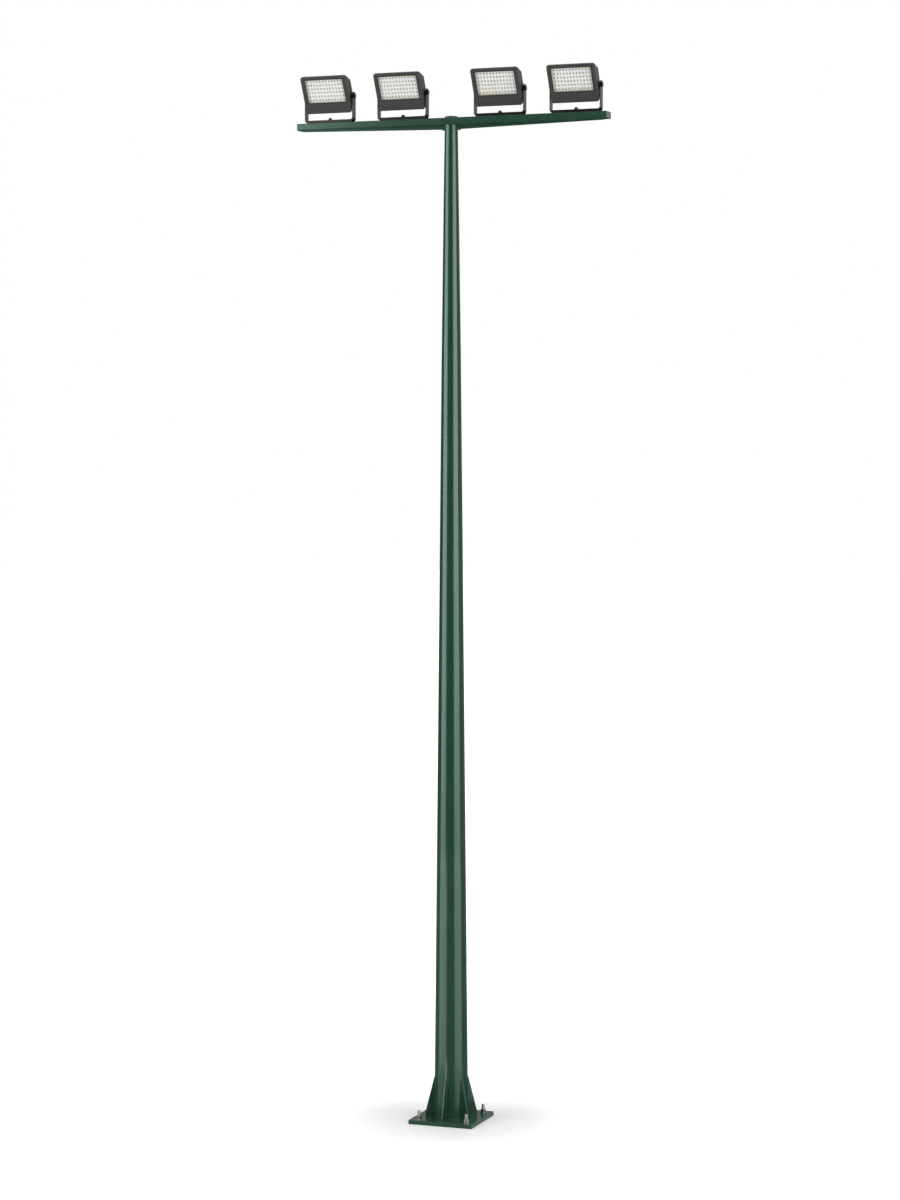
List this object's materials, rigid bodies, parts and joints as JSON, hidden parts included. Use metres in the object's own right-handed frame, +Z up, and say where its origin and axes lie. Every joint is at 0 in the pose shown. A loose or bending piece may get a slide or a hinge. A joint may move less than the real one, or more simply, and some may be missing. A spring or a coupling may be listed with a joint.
{
  "type": "crossbar floodlight pole",
  "caption": "Conical steel floodlight pole on a gusseted, bolted base plate, with a crossbar carrying tilting LED floodlights in yokes.",
  "frame": {"origin": "centre of the base plate's underside, on the mast's axis", "axes": "+Z up along the mast, +X along the crossbar, floodlights facing -Y"},
  "size_m": [1.95, 0.4, 6.2608],
  "materials": {
    "mast_paint": "semi-gloss moss-green powder coat",
    "galvanised_steel": "bare zinc-plated steel",
    "lamp_casting": "dark grey powder coat on die-cast aluminium",
    "yoke_paint": "black powder coat",
    "window_glass": "clear tempered glass",
    "board_white": "white solder mask on the lamp board",
    "gland_plastic": "black moulded plastic"
  },
  "bodies": {
    "mast": {"base_plate": "mast_paint", "base_gussets": "mast_paint", "anchor_studs": "galvanised_steel", "anchor_nuts": "galvanised_steel", "anchor_washers": "galvanised_steel", "mast_shaft": "mast_paint", "mast_cap": "mast_paint", "crossbar_tube": "mast_paint", "crossbar_end_cap_left": "mast_paint", "crossbar_end_cap_right": "mast_paint", "crossbar_rib_left": "mast_paint", "crossbar_rib_right": "mast_paint", "lamp_1_yoke_bolt": "yoke_paint", "lamp_2_yoke_bolt": "yoke_paint", "lamp_3_yoke_bolt": "yoke_paint", "lamp_4_yoke_bolt": "yoke_paint"},
    "yoke_1": {"lamp_1_yoke": "yoke_paint"},
    "lamp_1": {"lamp_1_housing": "lamp_casting", "lamp_1_bezel": "lamp_casting", "lamp_1_glass": "window_glass", "lamp_1_led_board": "board_white", "lamp_1_pivot_bolts": "yoke_paint", "lamp_1_cable_gland": "gland_plastic"},
    "yoke_2": {"lamp_2_yoke": "yoke_paint"},
    "lamp_2": {"lamp_2_housing": "lamp_casting", "lamp_2_bezel": "lamp_casting", "lamp_2_glass": "window_glass", "lamp_2_led_board": "board_white", "lamp_2_pivot_bolts": "yoke_paint", "lamp_2_cable_gland": "gland_plastic"},
    "yoke_3": {"lamp_3_yoke": "yoke_paint"},
    "lamp_3": {"lamp_3_housing": "lamp_casting", "lamp_3_bezel": "lamp_casting", "lamp_3_glass": "window_glass", "lamp_3_led_board": "board_white", "lamp_3_pivot_bolts": "yoke_paint", "lamp_3_cable_gland": "gland_plastic"},
    "yoke_4": {"lamp_4_yoke": "yoke_paint"},
    "lamp_4": {"lamp_4_housing": "lamp_casting", "lamp_4_bezel": "lamp_casting", "lamp_4_glass": "window_glass", "lamp_4_led_board": "board_white", "lamp_4_pivot_bolts": "yoke_paint", "lamp_4_cable_gland": "gland_plastic"}
  },
  "joints": [
    {"name": "lamp_1_pan", "type": "hinge", "parent": "mast", "child": "yoke_1", "pos_m": [-0.776, 0, 5.99], "axis": [0, 0, 1], "range_deg": [-90, 90]},
    {"name": "lamp_1_tilt", "type": "hinge", "parent": "yoke_1", "child": "lamp_1", "pos_m": [-0.776, 0, 6.148], "axis": [1, 0, 0], "range_deg": [-57, 63]},
    {"name": "lamp_2_pan", "type": "hinge", "parent": "mast", "child": "yoke_2", "pos_m": [-0.306, 0, 5.99], "axis": [0, 0, 1], "range_deg": [-90, 90]},
    {"name": "lamp_2_tilt", "type": "hinge", "parent": "yoke_2", "child": "lamp_2", "pos_m": [-0.306, 0, 6.148], "axis": [1, 0, 0], "range_deg": [-57, 63]},
    {"name": "lamp_3_pan", "type": "hinge", "parent": "mast", "child": "yoke_3", "pos_m": [0.306, 0, 5.99], "axis": [0, 0, 1], "range_deg": [-90, 90]},
    {"name": "lamp_3_tilt", "type": "hinge", "parent": "yoke_3", "child": "lamp_3", "pos_m": [0.306, 0, 6.148], "axis": [1, 0, 0], "range_deg": [-57, 63]},
    {"name": "lamp_4_pan", "type": "hinge", "parent": "mast", "child": "yoke_4", "pos_m": [0.776, 0, 5.99], "axis": [0, 0, 1], "range_deg": [-90, 90]},
    {"name": "lamp_4_tilt", "type": "hinge", "parent": "yoke_4", "child": "lamp_4", "pos_m": [0.776, 0, 6.148], "axis": [1, 0, 0], "range_deg": [-57, 63]}
  ]
}
